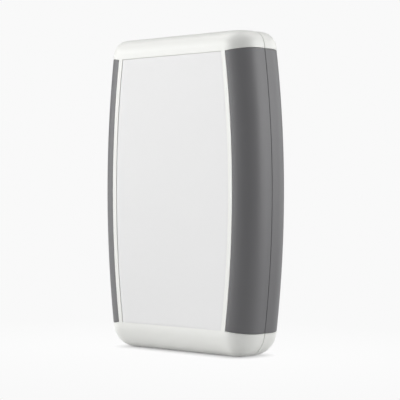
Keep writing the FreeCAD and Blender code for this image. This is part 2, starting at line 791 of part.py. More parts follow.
CONTACTS = [
    (x, "lower" if index % 2 == 0 else "upper", f"({place})") for index, (x, place) in enumerate(TAIL_PLACES)
]
contact_slots = group("contact_slots", [
    contact("contact_slot", x, row, place, "socket_fit") for x, row, place in CONTACTS
])
insulator_solid = fuse("insulator_solid", cut("insulator_hollow", insulator_block, mouth), tongue)
usb_socket_insulator = on_board(cut("usb_socket_insulator", insulator_solid, contact_slots), "0", MOUTH_LEVEL)
usb_contacts = on_board(group("usb_contacts", [
    contact("contact", x, row, place) for x, row, place in CONTACTS
]), "0", MOUTH_LEVEL)


# Radio module
CASTELLATIONS = 7
module_plate = centred_block("module_plate", "module_width", "module_length", "module_thickness")
notch_pitch = f"(module_length / {CASTELLATIONS + 1})"
notches = [
    post("notch", f"{side}module_width / 2", f"{notch_pitch} * {index} - module_length / 2", "0",
         f"{notch_pitch} / 5", "module_thickness")
    for side in ("", "-") for index in range(1, CASTELLATIONS + 1)
]
radio_module_board = on_board(cut("radio_module_board", module_plate, group("notches", notches)),
                              "0", MODULE_ROW)


def can_form(name, inset, height):
    """A box with rounded upright and top edges, moved in by the inset."""
    body = new_body(name)
    sketch = new_sketch(body, name + "_outline", role="XY_Plane")
    half_length, half_width = f"(can_width / 2 - {inset})", f"(can_length / 2 - {inset})"
    rectangle(sketch, f"0 - {half_length}", half_length, f"0 - {half_width}", half_width)
    raised = pad(body, sketch, height)
    top = value(height)
    upright = round_edges(body, raised, name + "_uprights", f"can_corner - {inset}",
                          lambda edge: edge.BoundBox.ZLength > top / 2)
    round_edges(body, upright, name + "_top", f"can_corner / 2 - {inset}",
                lambda edge: is_flat_at(edge, "Z", top))
    return checked(body)


radio_shield_can = on_board(
    cut("radio_shield_can", can_form("can_outside", "0", "can_height"),
        can_form("can_inside", "can_sheet", "can_height - can_sheet")),
    "0", MODULE_ROW, lift="module_thickness")

# Antenna, one strip of sheet metal folded down to the board in three places
antenna_strip = centred_block("antenna_bar", "antenna_length", "antenna_strip", "antenna_sheet",
                              "antenna_height - antenna_sheet")
antenna_legs = [
    block("antenna_leg", x, "0 - antenna_strip / 2", "0", "antenna_sheet", "antenna_strip", "antenna_height")
    for x in ("0 - antenna_length / 2", "antenna_leg_pitch - antenna_length / 2",
              "antenna_length / 2 - antenna_sheet")
]
antenna = on_board(fuse("antenna", antenna_strip, *antenna_legs), "0", ANTENNA_ROW)


# Chips

def leaded_chip(name, length, width, height, pitch, lead, per_side, tab=None):
    """A moulded package with a row of bent leads on one or both sides, as one piece."""
    body = new_body(name)
    outline = new_sketch(body, name + "_outline", role="XY_Plane", offset="lead_thickness / 2")
    rectangle(outline, f"0 - {length} / 2", f"{length} / 2", f"0 - {width} / 2", f"{width} / 2")
    package = pad(body, outline, f"{height} - lead_thickness / 2")
    start = f"(0 - {pitch} * {per_side - 1} / 2)"
    profile = new_sketch(body, name + "_lead_profile", role="YZ_Plane", offset=start)
    inner, tip = f"({width} / 4)", f"({width} / 2 + lead_reach)"
    knee = f"({tip} - lead_foot)"
    for side in ("", "-") if tab is None else ("-",):
        polygon(profile, [
            (f"{side}{inner}", "lead_shoulder"),
            (f"{side}{knee}", "lead_shoulder"),
            (f"{side}{knee}", "lead_thickness"),
            (f"{side}{tip}", "lead_thickness"),
            (f"{side}{tip}", "0"),
            (f"{side}({knee} - lead_thickness)", "0"),
            (f"{side}({knee} - lead_thickness)", "lead_shoulder - lead_thickness"),
            (f"{side}{inner}", "lead_shoulder - lead_thickness"),
        ])
    first = pad(body, profile, lead, midplane=True)
    row = body.newObject("PartDesign::LinearPattern", name + "_leads")
    row.Originals = [first]
    row.Direction = (profile, ["N_Axis"])
    row.setExpression("Length", link(f"{pitch} * {per_side - 1}"))
    row.Occurrences = per_side
    body.Tip = row
    checked(row)
    if tab is not None:
        ledge = new_sketch(body, name + "_tab_outline", role="XY_Plane")
        rectangle(ledge, f"0 - {tab} / 2", f"{tab} / 2", inner, tip)
        pad(body, ledge, "lead_thickness")
    if body.Shape.Volume <= package.Shape.Volume:
        raise RuntimeError(name + " has no leads")
    return checked(body)


memory_chip = on_board(
    leaded_chip("memory_chip", "memory_length", "memory_width", "memory_height",
                "lead_pitch", "lead_width", 4),
    f"0 - {CHIP_COLUMN}", CHIP_ROW)
voltage_regulator = on_board(
    leaded_chip("voltage_regulator", "regulator_length", "regulator_width", "regulator_height",
                "regulator_pitch", "regulator_lead", 3, tab="regulator_tab"),
    f"0 - {CHIP_COLUMN}", SUPPLY_ROW)
chip_block = centred_block("chip_block", "chip_side", "chip_side", "chip_height")
chip_dimple = post("chip_dimple", "0 - chip_side / 3", "chip_side / 3", "chip_height - dimple_depth",
                   "dimple_diameter / 2", "chip_height")
controller_chip = on_board(cut("controller_chip", chip_block, chip_dimple), "0", CHIP_ROW)


def stadium(name, length, width, height, z="0"):
    """A block with half round ends."""
    ends = [post(name + "_end", f"{side}({length} - {width}) / 2", "0", z, f"{width} / 2", height)
            for side in ("", "-")]
    return fuse(name, centred_block(name + "_middle", f"({length} - {width})", width, height, z), *ends)


crystal = on_board(
    fuse("crystal", stadium("crystal_can", "crystal_length", "crystal_width", "crystal_height"),
         stadium("crystal_foot", "(crystal_length + 2 * crystal_brim)", "(crystal_width + 2 * crystal_brim)",
                 "crystal_brim")), CHIP_COLUMN, CHIP_ROW)


def electrolytic(x, z):
    """A round can on a square plinth, with the rolled neck that such cans have."""
    can = post("electrolytic_can", "0", "0", "0", "electrolytic_diameter / 2", "electrolytic_height")
    plinth = centred_block("electrolytic_foot", "electrolytic_base", "electrolytic_base",
                           "electrolytic_plinth")
    ring, core = (
        post("electrolytic_neck", "0", "0", "electrolytic_neck_level", radius, "electrolytic_neck_width")
        for radius in ("electrolytic_diameter", "electrolytic_diameter / 2 - electrolytic_neck_depth")
    )
    neck = cut("electrolytic_groove", ring, core)
    return on_board(cut("electrolytic", fuse("electrolytic_solid", can, plinth), neck), x, z)


def end_capped(name, length, width, height, x, z):
    """A small block with a metal cap on each end."""
    core = centred_block(name + "_core", length, width, height)
    caps = [
        block(name + "_cap", start, f"0 - {width} / 2 - cap_skin", "0",
              "cap_length", f"{width} + 2 * cap_skin", f"{height} + cap_skin")
        for start in (f"0 - {length} / 2 - cap_skin", f"{length} / 2 + cap_skin - cap_length")
    ]
    return on_board(fuse(name, core, *caps), x, z)


electrolytic_capacitors = group("electrolytic_capacitors", [
    electrolytic(f"input_capacitor_inset - {BOARD_SIDE}", f"{SUPPLY_ROW} - input_capacitor_drop"),
    electrolytic(CHIP_COLUMN, SUPPLY_ROW),
])
OVER_CHIP, UNDER_CHIP = f"{CHIP_ROW} + chip_side", f"{CHIP_ROW} - chip_side"
BESIDE_MODULE = "0 - module_width / 2 - ceramic_length"
CERAMIC_PLACES = [
    ("0 - chip_side", OVER_CHIP),
    ("0", OVER_CHIP),
    ("chip_side", OVER_CHIP),
    ("0 - chip_side / 2", UNDER_CHIP),
    ("chip_side / 2", UNDER_CHIP),
    (CHIP_COLUMN, UNDER_CHIP),
    (BESIDE_MODULE, f"{MODULE_ROW} + module_length / 3"),
    (BESIDE_MODULE, f"{MODULE_ROW} - module_length / 3"),
]
ceramic_capacitors = group("ceramic_capacitors", [
    end_capped("ceramic", "ceramic_length", "ceramic_width", "ceramic_height", x, z)
    for x, z in CERAMIC_PLACES
])
RESISTOR_PLACES = [
    (f"resistor_length * {index} - {CHIP_COLUMN}", UNDER_CHIP) for index in (-3, -1, 1)
] + [
    (f"{side}contact_pitch * {step}", f"{SUPPLY_ROW} + inductor_side")
    for side in ("", "-") for step in (1, 2)
]
resistors = group("resistors", [
    end_capped("resistor", "resistor_length", "resistor_width", "resistor_height", x, z)
    for x, z in RESISTOR_PLACES
])

inductor_flanges = [
    centred_block("inductor_flange", "inductor_side", "inductor_side", "inductor_flange", z)
    for z in ("0", "inductor_height - inductor_flange")
]
power_inductor = on_board(
    fuse("power_inductor", post("inductor_drum", "0", "0", "0", "inductor_core / 2", "inductor_height"),
         *inductor_flanges), "0", SUPPLY_ROW)


# Programming pins, which stand in a plastic bar and pass through the board

def pin_row():
    bar = centred_block("pin_bar", "pin_pitch", "(4 * pin_pitch)", "pin_bar_height")
    pins = [
        block("pin", "0 - pin_side / 2", f"pin_pitch * {index} - pin_side / 2", f"0 - {TAIL_REACH}",
              "pin_side", "pin_side", f"pin_height + {TAIL_REACH}")
        for index in (-1.5, -0.5, 0.5, 1.5)
    ]
    return fuse("programming_pins", bar, *pins)


programming_pins = on_board(pin_row(), PIN_X, f"{PIN_LOW} + 1.5 * pin_pitch")

PIECES = [
    front_shell, rear_shell, *grips, label_panel, case_screws,
    circuit_board, board_screws, usb_socket_shell, usb_socket_insulator, usb_contacts,
    radio_module_board, radio_shield_can, antenna, controller_chip, memory_chip, voltage_regulator,
    crystal, electrolytic_capacitors, ceramic_capacitors, resistors, power_inductor, programming_pins,
]
doc.recompute()
for item in doc.Objects:
    if "Invalid" in item.State or "Error" in item.State:
        raise RuntimeError(f"{item.Name} did not build: {item.State}")
for piece in PIECES:
    piece.Label = piece.Name
    checked(piece)
    piece.Shape.exportStep(f"parts/{piece.Label}.step")
    print(f"{piece.Label}: {len(piece.Shape.Solids)} solids, {piece.Shape.Volume:.1f} mm3")
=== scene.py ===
# %% [markdown]
# A hand-held wireless adapter, dressed for its portrait
#
# The product is a white moulded housing with bowed sides. Soft grey grips are let into both sides,
# and a plain grey panel lies in a shallow recess of the front. Its sizes were settled in CAD.
# This lesson loads that CAD model as a fixed frame and gives it its looks: camera, light, materials,
# and the few pieces that are better made as smooth meshes.
# Everything is in metres, with the origin in the middle of the foot and Z up.

# %% Load the CAD frame
import math

import bpy
import numpy as np
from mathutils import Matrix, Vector


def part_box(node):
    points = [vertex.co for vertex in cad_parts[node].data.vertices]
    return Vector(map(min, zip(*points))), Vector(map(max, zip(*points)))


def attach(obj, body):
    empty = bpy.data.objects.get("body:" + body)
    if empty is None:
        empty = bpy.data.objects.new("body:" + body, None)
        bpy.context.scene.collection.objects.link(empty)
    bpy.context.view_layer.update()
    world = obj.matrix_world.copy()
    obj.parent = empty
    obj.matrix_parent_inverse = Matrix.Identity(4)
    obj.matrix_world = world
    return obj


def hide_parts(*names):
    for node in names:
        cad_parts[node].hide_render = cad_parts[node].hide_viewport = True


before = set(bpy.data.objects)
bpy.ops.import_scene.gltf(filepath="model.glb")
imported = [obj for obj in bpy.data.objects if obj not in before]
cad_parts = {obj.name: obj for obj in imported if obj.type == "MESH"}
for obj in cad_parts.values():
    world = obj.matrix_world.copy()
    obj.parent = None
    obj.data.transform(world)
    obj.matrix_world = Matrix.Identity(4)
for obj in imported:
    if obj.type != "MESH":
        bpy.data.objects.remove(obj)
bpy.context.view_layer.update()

scene = bpy.context.scene
scene.view_settings.view_transform = "Standard"

print("CAD nodes:", len(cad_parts))

# %% [markdown]
# The camera
#
# The photograph shows upright edges that stay parallel, so the camera was level, and its lens long.
# A level camera is turned about Z alone. The little that the object sits off the middle of the frame
# is a shift of the lens and not a turn of the camera: a turn would make the upright edges lean.

# %% Place the camera
TURN = math.radians(43.93)
DISTANCE = 0.5616
AIM_HEIGHT = 0.0601

camera_data = bpy.data.cameras.new("camera")
camera_data.lens = 134.3
camera_data.sensor_width = 36.0
camera_data.shift_x = 0.018
camera_data.shift_y = -0.0228
camera_data.clip_start = 0.05
camera = bpy.data.objects.new("camera", camera_data)
camera.location = (DISTANCE * math.sin(TURN), -DISTANCE * math.cos(TURN), AIM_HEIGHT)
camera.rotation_euler = (math.pi / 2, 0, TURN)
scene.collection.objects.link(camera)
scene.camera = camera
print("camera at", [round(place, 4) for place in camera.location])

# %% [markdown]
# Writing shader maths as Python
#
# A material in Blender is a graph of nodes. Wiring each sum by hand hides the idea behind the plumbing,
# so one small class stands for an output socket and knows how to add, subtract, multiply and divide.
# Each operation adds the Math node that does it. A second class holds the graph of one material.

# %% A socket that can be used in sums
class Wire:
    """One value in a material's graph. Sums written with it add Math nodes."""

    def __init__(self, recipe, socket):
        self.recipe = recipe
        self.socket = socket

    def __add__(self, other):
        return self.recipe.maths("ADD", self, other)

    def __sub__(self, other):
        return self.recipe.maths("SUBTRACT", self, other)

    def __rsub__(self, other):
        return self.recipe.maths("SUBTRACT", other, self)

    def __mul__(self, other):
        return self.recipe.maths("MULTIPLY", self, other)

    def __truediv__(self, other):
        return self.recipe.maths("DIVIDE", self, other)

    __radd__ = __add__
    __rmul__ = __mul__


# %% The graph of one material
class Recipe:
    """A material under construction: a Principled shader and the nodes that feed it."""

    def __init__(self, name):
        self.material = bpy.data.materials.new(name)
        self.material.use_nodes = True
        self.tree = self.material.node_tree
        self.tree.nodes.clear()
        self.shader = self.tree.nodes.new("ShaderNodeBsdfPrincipled")
        self.output = self.tree.nodes.new("ShaderNodeOutputMaterial")
        self.tree.links.new(self.shader.outputs["BSDF"], self.output.inputs["Surface"])

    def put(self, socket, value):
        """Sets a socket to a number or colour, or links a wire to it."""
        if isinstance(value, Wire):
            self.tree.links.new(value.socket, socket)
        else:
            socket.default_value = value

    def add(self, kind, settings, sockets, output=0):
        """Adds a node: first its settings, then the values or links of its sockets."""
        node = self.tree.nodes.new(kind)
        for name, value in settings.items():
            setattr(node, name, value)
        for name, value in sockets.items():
            self.put(node.inputs[name], value)
        return Wire(self, node.outputs[output])

    def maths(self, operation, first, second=0.0):
        return self.add("ShaderNodeMath", {"operation": operation}, {0: first, 1: second})

    def place(self):
        """Where a point lies on the piece, in metres."""
        return self.add("ShaderNodeTexCoord", {}, {}, "Object")

    def noise(self, scale, detail=2.0, roughness=0.5, place=None):
        """Cloudy noise with one cloud in about 1 / scale metres. Its level is about 0.5."""
        if place is None:
            place = self.place()
        sockets = {"Vector": place, "Scale": scale, "Detail": detail, "Roughness": roughness}
        return self.add("ShaderNodeTexNoise", {"noise_dimensions": "3D"}, sockets, "Fac")

    def clamped(self, wire):
        """The wire kept between 0 and 1."""
        return self.add("ShaderNodeClamp", {}, {"Value": wire})

    def blend(self, share, first, second):
        """The first colour where share is 0, and the second where it is 1.

        A Mix node takes its share at socket 0 and its colours at 6 and 7, and gives a colour at output 2.
        """
        return self.add("ShaderNodeMix", {"data_type": "RGBA"}, {0: share, 6: first, 7: second}, 2)

    def bump(self, height, distance, strength=1.0):
        """Tilts the surface's normal by a height map. The distance is the height of 1, in metres."""
        sockets = {"Strength": strength, "Distance": distance, "Height": height}
        self.put(self.shader.inputs["Normal"], self.add("ShaderNodeBump", {}, sockets, "Normal"))

    def finish(self, **sockets):
        """Sets the shader's own sockets, whose names have _ in place of each space."""
        for name, value in sockets.items():
            self.put(self.shader.inputs[name.replace("_", " ")], value)
        return self.material


def colour(red, green, blue):
    return (red, green, blue, 1.0)


print("graph helpers ready")

# %% [markdown]
# Light, floor and backdrop
#
# The photograph has no horizon: floor and background are one near white. Raising the lamps until
# they clip would bleach the object too. Light Path tells the shader who is looking, so the white
# is shown to the camera, and to mirror and glass rays, and all other rays meet a plain pale floor.
# Near the object the floor also takes real light, so that it can carry a shadow.

# %% Show one white to the camera
PAGE_WHITE = colour(0.947, 0.947, 0.947)
FLOOR_SIZE = 8.0


def seen_directly(recipe, gloss=1.0):
    """1 for camera, mirror and glass rays, and 0 for the rays that carry light about.

    Gloss is the share of the mirror rays that counts. It can be a wire, so that some ways count less.
    """
    ray = {name: recipe.add("ShaderNodeLightPath", {}, {}, name)
           for name in ("Is Camera Ray", "Is Glossy Ray", "Is Transmission Ray")}
    total = ray["Is Camera Ray"] + ray["Is Glossy Ray"] * gloss + ray["Is Transmission Ray"]
    return recipe.clamped(total)


# %% Make the world
world = bpy.data.worlds.new("studio")
scene.world = world
world.use_nodes = True
world.node_tree.nodes.clear()


class WorldRecipe(Recipe):
    """The same graph tools for the world, whose shader is a Background node."""

    def __init__(self, target):
        self.tree = target.node_tree
        self.shader = self.tree.nodes.new("ShaderNodeBackground")
        self.output = self.tree.nodes.new("ShaderNodeOutputWorld")
        self.tree.links.new(self.shader.outputs["Background"], self.output.inputs["Surface"])


# %% [markdown]
# A dark screen that draws the outline
#
# A white product on a white page has no outline. Photographers stand a black screen behind it, where
# only its edges mirror it: at a grazing angle even matte plastic is a fair mirror, so each edge gets
# a hairline of dark. Here the screen is a patch of the world behind and to the left of the product,
# dark to mirror rays alone. It fades at its rim, and it stays where it is in every view.

# %% Light the world
WORLD_LIGHT = colour(0.03, 0.03, 0.03)
SCREEN_TURN = math.radians(-136)
SCREEN_INNER = math.cos(math.radians(45))
SCREEN_OUTER = math.cos(math.radians(75))


def beside_screen(recipe):
    """0 where a ray heads for the screen, and 1 where it passes beside it.

    The product of the ray's heading and the way to the screen's middle is the cosine of the angle
    between them, so it falls from 1 at the middle.
    """
    middle = (math.sin(SCREEN_TURN), -math.cos(SCREEN_TURN), 0.0)
    heading = recipe.add("ShaderNodeTexCoord", {}, {}, "Generated")
    match = recipe.add("ShaderNodeVectorMath", {"operation": "DOT_PRODUCT"},
                       {0: heading, 1: middle}, "Value")
    return recipe.clamped((SCREEN_INNER - match) / (SCREEN_INNER - SCREEN_OUTER))


sky = WorldRecipe(world)
seen = seen_directly(sky, beside_screen(sky))
sky.put(sky.shader.inputs["Color"], sky.blend(seen, WORLD_LIGHT, PAGE_WHITE))
print("world made")

# %% [markdown]
# A floor with a shadow
#
# The product stands on the flat of its foot. Within a centimetre of that rectangle the camera sees
# the floor as the lamps light it, and so the dark line of contact and the soft shadow about it.
# Further out the page's white takes over, with painted light that makes it slightly brighter next to the
# product than far away.

# %% Make the floor
FOOT_HALF_WIDTH = 0.0255
FOOT_HALF_DEPTH = 0.00315
SHADOW_REACH = 0.010
SHADOW_SHARE = 0.85
# Painted light: the white the camera sees is painted brighter next to the product.
NEAR_PAINTED_GLOW = colour(0.982, 0.982, 0.982)
NEAR_REACH = 0.12


def beyond(recipe, amount, half):
    """How far an amount lies outside the span from -half to half, and 0 inside it."""
    return recipe.maths("MAXIMUM", recipe.maths("ABSOLUTE", amount) - half, 0.0)


def floor_material():
    """Real light close to the foot, and the page's own white further out.

    The distance to the foot is the root of the two distances beyond its rectangle, squared and added.
    """
    recipe = Recipe("floor_pale")
    split = recipe.add("ShaderNodeSeparateXYZ", {}, {"Vector": recipe.place()})
    over_x = beyond(recipe, split, FOOT_HALF_WIDTH)
    over_y = beyond(recipe, Wire(recipe, split.socket.node.outputs["Y"]), FOOT_HALF_DEPTH)
    distance = recipe.maths("SQRT", over_x * over_x + over_y * over_y)
    near = recipe.clamped(1.0 - distance / SHADOW_REACH)
    share = seen_directly(recipe) * (1.0 - near * SHADOW_SHARE)
    pale = recipe.blend(recipe.noise(scale=90.0), colour(0.69, 0.69, 0.69), colour(0.71, 0.71, 0.71))
    recipe.finish(Base_Color=pale, Roughness=0.9, Specular_IOR_Level=0.0)
    # Painted light: the glow is brightest next to the foot and fades to the page's white within NEAR_REACH.
    white = recipe.blend(recipe.clamped(distance / NEAR_REACH), NEAR_PAINTED_GLOW, PAGE_WHITE)
    glow = recipe.add("ShaderNodeEmission", {}, {"Color": white}, "Emission")
    mix = recipe.add("ShaderNodeMixShader", {}, {0: share, 2: glow}, "Shader")
    recipe.tree.links.new(recipe.shader.outputs["BSDF"], mix.socket.node.inputs[1])
    recipe.tree.links.new(mix.socket, recipe.output.inputs["Surface"])
    return recipe.material


def flat_square(name, size, height):
    """A level square about the Z axis."""
    half = size / 2
    mesh = bpy.data.meshes.new(name)
    corners = [(-half, -half, height), (half, -half, height), (half, half, height), (-half, half, height)]
    mesh.from_pydata(corners, [], [(0, 1, 2, 3)])
    square = bpy.data.objects.new(name, mesh)
    scene.collection.objects.link(square)
    return square


floor = flat_square("floor", FLOOR_SIZE, 0.0)
floor.data.materials.append(floor_material())
print("floor made")

# %% [markdown]
# Six lamps
#
# Light adds up: a picture lit by two lamps is the sum of the pictures lit by each. So the strengths
# were not guessed, but worked out from one picture for each of many lamps, as the sum that comes
# nearest to the photograph. Six were enough. Three light the front from the left, and three the side
# from the right and behind. The upright edge between the two gets little of either, and turns dark.

# %% Place the lamps
LAMP_DISTANCE = 2.8
LAMP_SIZE = 1.6


def lamp(name, round_z, above, energy):
    """A soft square lamp that faces the object.

    Its place is an angle round Z, counted from the front, and an angle above level, both in degrees.
    """
    turn, rise = math.radians(round_z), math.radians(above)
    outwards = Vector((math.sin(turn) * math.cos(rise), -math.cos(turn) * math.cos(rise), math.sin(rise)))
    data = bpy.data.lights.new(name, "AREA")
    data.shape = "SQUARE"
    data.size = LAMP_SIZE
    data.energy = energy
    item = bpy.data.objects.new(name, data)
    item.location = LAMP_DISTANCE * outwards + Vector((0, 0, AIM_HEIGHT))
    item.rotation_euler = (-outwards).to_track_quat("-Z", "Y").to_euler()
    scene.collection.objects.link(item)
    print(name, "of", energy, "W")


lamp("lamp_front", -30, 12, 36.4)
lamp("lamp_front_left", -60, 12, 28.9)
lamp("lamp_left_above", -60, 60, 28.3)
lamp("lamp_right", 120, 12, 45.6)
lamp("lamp_behind", 165, 12, 15.2)
lamp("lamp_behind_above", 150, 60, 20.1)

# %% [markdown]
# The white plastic of the housing
#
# Such housings are moulded in a steel tool whose walls were etched by sparks. That leaves a fine,
# even grain and a satin gloss. The colour is nearly the same all over, so what makes it look real
# is the grain in its highlights: noise smaller than a fifth of a millimetre tilts the normal a little.
# Where the melt met the tool unevenly, wide and very faint clouds remain in the gloss.

# %% Moulded plastic
def moulded(name, pale, deep, gloss, grain=5200.0, depth=0.000012):
    """Plastic from an etched tool: two near colours in wide clouds and a fine grain."""
    recipe = Recipe(name)
    cloud = recipe.noise(scale=38.0, detail=3.0)
    recipe.bump(recipe.noise(grain), depth, strength=0.5)
    return recipe.finish(Base_Color=recipe.blend(cloud, deep, pale), Roughness=gloss + 0.08 * cloud)


shell_white = moulded("shell_white", colour(0.900, 0.905, 0.875), colour(0.875, 0.880, 0.850), gloss=0.36)
print("material:", shell_white.name)

# %% [markdown]
# The soft grips
#
# The grips are a thermoplastic rubber. It is darker and duller than the shell, and at grazing angles
# it shows a pale bloom. Sheen gives that bloom, and a slightly coarser grain breaks up the highlight.

# %% Soft rubber
def rubber(name):
    """Matte rubber: a cloudy grey, a soft grain and a little sheen."""
    recipe = Recipe(name)
    cloud = recipe.noise(scale=55.0, detail=3.0)
    grain = recipe.noise(scale=3800.0, detail=3.0, roughness=0.6)
    recipe.bump(grain, distance=0.00002, strength=0.5)
    grey = recipe.blend(cloud, colour(0.123, 0.1225, 0.127), colour(0.141, 0.1405, 0.146))
    return recipe.finish(Base_Color=grey, Roughness=0.44 + 0.1 * cloud, Sheen_Weight=0.12,
                         Sheen_Roughness=0.4)


grip_grey = rubber("grip_grey")
print("material:", grip_grey.name)

# %% [markdown]
# The shape of a grip
#
# A grip is a sheet of rubber of even thickness that lies on the bowed side of the housing. Two numbers
# say where a point of it is: how far round the housing's upright edge, from the parting line to the
# front face, and how far up the bow of the side, as an angle about the centre of that bow.
# Real rubber never ends in a sharp edge, so the outer skin sinks along a quarter circle as it nears
# each border. A sheet of points worked out from the two numbers gives all of it at once.

# %% Sizes of the side and its grips
# All sizes are in millimetres. Down to the clearance they are those of the CAD model. The gap at the
# parting line is narrower here, because the photograph shows a hairline there.
MM = 0.001
HALF_WIDTH = 39.5
HALF_DEPTH = 12.15
SIDE_RADIUS = 372.6
WIDEST_HEIGHT = 60.1
EDGE_RADIUS = 8.9
GRIP_THICKNESS = 1.2
GRIP_REACH = 8.47
GRIP_HALF_HEIGHT = 50.24
GRIP_CLEARANCE = 0.08
PARTING_HALF_GAP = 0.06
GRIP_EDGE = 0.22
GRIP_SETBACK = 0.01
EDGE_STEPS = 6


def graded(length, corner, fine, coarse):
    """Distances from 0 to length, with fine steps within one corner of each end and coarse ones between."""
    turn = np.linspace(0.0, np.pi / 2, fine)
    start = corner * (1.0 - np.cos(turn))
    middle = np.linspace(corner, length - corner, coarse)[1:-1]
    return np.concatenate([start, middle, length - start[::-1]])


def rounded_border(along, across, corner):
    """How far a skin sinks at each point of its grid, to end in a quarter circle at all four borders.

    At a distance d from the nearest border, where d is less than the corner radius r, the skin sinks
    by r - sqrt(r^2 - (r - d)^2). Further in it doesn't sink.
    """
    near = np.minimum(np.minimum(along, along[-1] - along)[:, None],
                      np.minimum(across, across[-1] - across)[None, :])
    short = corner - np.minimum(near, corner)
    return corner - np.sqrt(corner ** 2 - short ** 2)


# %% Work out the two skins of a grip
def grip_skins(side, face):
    """The outer and inner skin of one grip, as grids of points in metres.

    The flat of the side runs from the parting line to the upright edge, where the radius from the
    centre of the bow is the side's own. Round the edge by an angle t, that radius is the side's, less
    the edge radius, plus the edge radius times cos t, and the depth grows by the edge radius times
    sin t. The inner skin is the same line with the edge radius less the thickness. The outer skin
    sinks near each border, and lies a hundredth of a millimetre below the shell's own surface.
    """
    edge_centre = SIDE_RADIUS - EDGE_RADIUS
    flat = HALF_DEPTH - EDGE_RADIUS - PARTING_HALF_GAP
    last = np.arccos((SIDE_RADIUS - GRIP_REACH + GRIP_CLEARANCE - edge_centre) / EDGE_RADIUS)
    run = flat + EDGE_RADIUS * last
    along = graded(run, GRIP_EDGE, EDGE_STEPS, coarse=40)
    sweep = np.arcsin(GRIP_HALF_HEIGHT / (SIDE_RADIUS - GRIP_REACH)) - GRIP_CLEARANCE / SIDE_RADIUS
    rise = graded(2 * SIDE_RADIUS * sweep, GRIP_EDGE, EDGE_STEPS, coarse=120)

    turn = np.clip((along - flat) / EDGE_RADIUS, 0.0, None)
    depth_on_flat = PARTING_HALF_GAP + np.minimum(along, flat)
    sink = rounded_border(along, rise, GRIP_EDGE)

    def skin(lift):
        radius = edge_centre + (EDGE_RADIUS + lift) * np.cos(turn)[:, None]
        depth = depth_on_flat[:, None] + (EDGE_RADIUS + lift) * np.sin(turn)[:, None]
        angle = (rise / SIDE_RADIUS - sweep)[None, :]
        x = HALF_WIDTH - SIDE_RADIUS + radius * np.cos(angle)
        z = WIDEST_HEIGHT + radius * np.sin(angle)
        grid = np.stack([side * x, face * np.broadcast_to(depth, x.shape), z], axis=-1)
        return MM * grid

    return skin(-sink - GRIP_SETBACK), skin(np.full_like(sink, -GRIP_THICKNESS))


# %% Turn grids of points into closed pieces
def grid_quads(numbers):
    """The four corners of every cell of a grid of vertex numbers."""
    return np.stack([numbers[:-1, :-1], numbers[1:, :-1], numbers[1:, 1:], numbers[:-1, 1:]],
                    axis=-1).reshape(-1, 4)


def surface(name, points, faces, crease=50):
    """A smooth mesh object, sharp where two faces meet at more than the crease, with its faces outwards.

    A closed mesh whose faces point outwards has a volume above zero: a sixth of the sum, over its
    triangles, of the first corner times the cross product of the other two.
    """
    mesh = bpy.data.meshes.new(name)
    mesh.from_pydata(points.tolist(), [], [face for group in faces for face in group.tolist()])
    thirds = np.concatenate([group[:, [0, step, step + 1]] for group in faces
                             for step in range(1, group.shape[1] - 1)])
    first, second, third = points[thirds[:, 0]], points[thirds[:, 1]], points[thirds[:, 2]]
    if np.einsum("ij,ij->", first, np.cross(second, third)) < 0:
        mesh.flip_normals()
    mesh.shade_smooth()
    mesh.set_sharp_from_angle(angle=math.radians(crease))
    piece = bpy.data.objects.new(name, mesh)
    scene.collection.objects.link(piece)
    return piece


def closed_slab(name, outer, inner):
    """A closed mesh from two grids of the same shape. A band of quads joins their borders."""
    count = outer.shape[0] * outer.shape[1]
    above = np.arange(count).reshape(outer.shape[:2])
    below = above + count
    faces = [grid_quads(above), grid_quads(below)[:, ::-1]]
    for border in (np.s_[:, 0], np.s_[-1, :], np.s_[::-1, -1], np.s_[0, ::-1]):
        top, bottom = above[border], below[border]
        faces.append(np.stack([top[1:], top[:-1], bottom[:-1], bottom[1:]], axis=-1))
    return surface(name, np.concatenate([outer.reshape(-1, 3), inner.reshape(-1, 3)]), faces)


# %% Make the four grips
for half, face in (("front", -1), ("rear", 1)):
    for hand, side in (("left", -1), ("right", 1)):
        node = f"grip_{half}_{hand}"
        piece = closed_slab("soft_" + node, *grip_skins(side, face))
        piece.data.materials.append(grip_grey)
        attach(piece, "root")
        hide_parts(node)
        print(piece.name, len(piece.data.polygons), "faces")

# %% [markdown]
# The plain front panel
#
# The panel is a thin polyester film stuck into the recess of the front. Its face is brushed to a matte
# that hides fingerprints: a fine even tooth, a touch cooler and darker than the shell.

# %% Matte film
def film(name):
    """Matte printed film: a fine tooth in the normal and a nearly even cool grey."""
    recipe = Recipe(name)
    cloud = recipe.noise(scale=30.0)
    tooth = recipe.noise(scale=7500.0, detail=1.0)
    recipe.bump(tooth, distance=0.00001, strength=0.4)
    grey = recipe.blend(cloud, colour(0.820, 0.820, 0.820), colour(0.840, 0.840, 0.840))
    return recipe.finish(Base_Color=grey, Roughness=0.42 + 0.06 * cloud)


label_grey = film("label_grey")
print("material:", label_grey.name)

# %% [markdown]
# The shape of the front panel
#
# The panel nearly fills its recess, so its border shows as one fine dark line and not as a step.
# A film is laid in by hand, and this one lies a few hundredths of a millimetre low.
# Its sides are arcs about the same centre as the housing's own, only shorter ones, and its ends are
# level. A row of the grid runs level from one arc to the other, so it is shorter near the ends.

# %% Work out the two skins of the panel
# The reach is the width of the rim beside the panel. The floor is how far the bottom of the recess
# lies in front of the middle of the housing, and the setback how far the panel lies below the rim.
PANEL_REACH = 10.52
PANEL_HALF_HEIGHT = 50.14
PANEL_FLOOR = 11.55
PANEL_SETBACK = 0.15
PANEL_EDGE = 0.03
PANEL_DROP = 0.06
PANEL_EDGE_STEPS = 4


